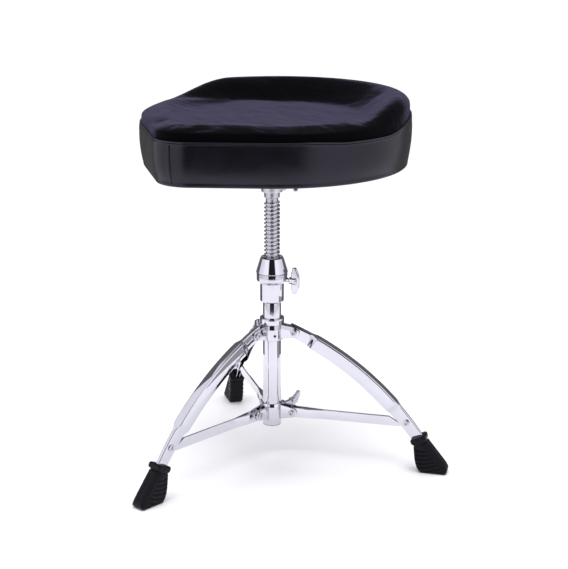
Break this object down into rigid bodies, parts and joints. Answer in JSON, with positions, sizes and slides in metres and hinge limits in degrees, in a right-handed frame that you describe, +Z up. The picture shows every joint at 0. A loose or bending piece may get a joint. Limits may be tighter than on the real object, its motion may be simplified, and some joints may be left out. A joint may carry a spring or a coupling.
{
  "type": "drum throne",
  "caption": "Saddle-shaped padded seat on a height-adjusting threaded spindle, held by a folding tripod of curved channel legs with braces and rubber feet.",
  "frame": {"origin": "centre of the footprint box on the floor; the column axis stands 38 mm behind it, at x = 0, y = 38 mm", "axes": "+Z up along the column, -Y along the front leg, +X to the right of a person who looks along +Y"},
  "size_m": [0.5174, 0.5128, 0.603],
  "materials": {
    "chrome_tube": "polished",
    "chrome_sheet": "polished",
    "chrome_casting": "gloss",
    "zinc_steel": "satin",
    "black_nylon": "satin",
    "black_rubber": "matte",
    "black_velvet": "matte",
    "black_leather": "satin",
    "black_board": "matte"
  },
  "bodies": {
    "base": {"base_tube": "chrome_tube", "tube_sleeve": "chrome_tube", "tube_end_cap": "chrome_tube", "height_nut_housing": "chrome_casting", "leg_hub": "chrome_casting", "hub_pin": "zinc_steel", "hub_rivet_front": "zinc_steel", "hub_rivet_right": "zinc_steel", "hub_rivet_left": "zinc_steel"},
    "glide": {"spindle_glide": "black_nylon"},
    "seat": {"threaded_spindle": "zinc_steel", "spindle_stop_screw": "zinc_steel", "seat_bracket": "chrome_casting", "seat_board": "black_board", "seat_cushion": "black_velvet", "seat_side_cover": "black_leather", "bracket_screw_1": "zinc_steel", "bracket_screw_2": "zinc_steel", "bracket_screw_3": "zinc_steel", "bracket_screw_4": "zinc_steel"},
    "lock_bolt": {"height_lock_wing_bolt": "chrome_casting"},
    "seat_clamp_bolt": {"seat_clamp_wing_bolt": "chrome_casting"},
    "collar_bolt": {"collar_wing_bolt": "chrome_casting"},
    "collar": {"brace_collar": "chrome_casting", "collar_rivet_front": "zinc_steel", "collar_rivet_right": "zinc_steel", "collar_rivet_left": "zinc_steel"},
    "leg_front": {"leg_front": "chrome_sheet", "foot_front": "black_rubber", "brace_rivet_front_a": "zinc_steel", "brace_rivet_front_b": "zinc_steel"},
    "brace_front": {"brace_front": "chrome_sheet"},
    "leg_right": {"leg_right": "chrome_sheet", "foot_right": "black_rubber", "brace_rivet_right_a": "zinc_steel", "brace_rivet_right_b": "zinc_steel"},
    "brace_right": {"brace_right": "chrome_sheet"},
    "leg_left": {"leg_left": "chrome_sheet", "foot_left": "black_rubber", "brace_rivet_left_a": "zinc_steel", "brace_rivet_left_b": "zinc_steel"},
    "brace_left": {"brace_left": "chrome_sheet"}
  },
  "joints": [
    {"name": "spindle_height", "type": "slide", "parent": "base", "child": "glide", "axis": [0, 0, 1], "range_m": [-0.09526, 0.03811]},
    {"name": "spindle_turn", "type": "hinge", "parent": "glide", "child": "seat", "pos_m": [0, 0.038, 0.3], "axis": [0, 0, 1], "range_deg": [-5400, 2160]},
    {"name": "height_lock_turn", "type": "hinge", "parent": "base", "child": "lock_bolt", "pos_m": [0, 0.038, 0.3058], "axis": [0.9092, 0.4163, 0], "range_deg": [0, 720]},
    {"name": "seat_clamp_turn", "type": "hinge", "parent": "seat", "child": "seat_clamp_bolt", "pos_m": [0, 0.038, 0.4706], "axis": [0.712, 0.7022, 0], "range_deg": [0, 720]},
    {"name": "collar_slide", "type": "slide", "parent": "base", "child": "collar", "axis": [0, 0, 1], "range_m": [0, 0.09253]},
    {"name": "collar_clamp_turn", "type": "hinge", "parent": "collar", "child": "collar_bolt", "pos_m": [0, 0.038, 0.083], "axis": [0, 1, 0], "range_deg": [0, 720]},
    {"name": "leg_front_fold", "type": "hinge", "parent": "base", "child": "leg_front", "pos_m": [0, 0, 0.2195], "axis": [1, 0, 0], "range_deg": [0, 38.05]},
    {"name": "brace_front_fold", "type": "hinge", "parent": "collar", "child": "brace_front", "pos_m": [0, 0.0027, 0.081], "axis": [1, 0, 0], "range_deg": [0, 70.08]},
    {"name": "leg_right_fold", "type": "hinge", "parent": "base", "child": "leg_right", "pos_m": [0.03291, 0.057, 0.2195], "axis": [-0.5, 0.866, 0], "range_deg": [0, 38.05]},
    {"name": "brace_right_fold", "type": "hinge", "parent": "collar", "child": "brace_right", "pos_m": [0.03057, 0.05565, 0.081], "axis": [-0.5, 0.866, 0], "range_deg": [0, 70.08]},
    {"name": "leg_left_fold", "type": "hinge", "parent": "base", "child": "leg_left", "pos_m": [-0.03291, 0.057, 0.2195], "axis": [-0.5, -0.866, 0], "range_deg": [0, 38.05]},
    {"name": "brace_left_fold", "type": "hinge", "parent": "collar", "child": "brace_left", "pos_m": [-0.03057, 0.05565, 0.081], "axis": [-0.5, -0.866, 0], "range_deg": [0, 70.08]}
  ],
  "couplings": [
    {"joint": "spindle_height", "follows": "spindle_turn", "m_per_rad": 0.0010106},
    {"joint": "leg_front_fold", "follows": "collar_slide", "rad_per_m": 7.1677},
    {"joint": "brace_front_fold", "follows": "collar_slide", "rad_per_m": 13.209},
    {"joint": "leg_right_fold", "follows": "collar_slide", "rad_per_m": 7.1677},
    {"joint": "brace_right_fold", "follows": "collar_slide", "rad_per_m": 13.209},
    {"joint": "leg_left_fold", "follows": "collar_slide", "rad_per_m": 7.1677},
    {"joint": "brace_left_fold", "follows": "collar_slide", "rad_per_m": 13.209}
  ]
}
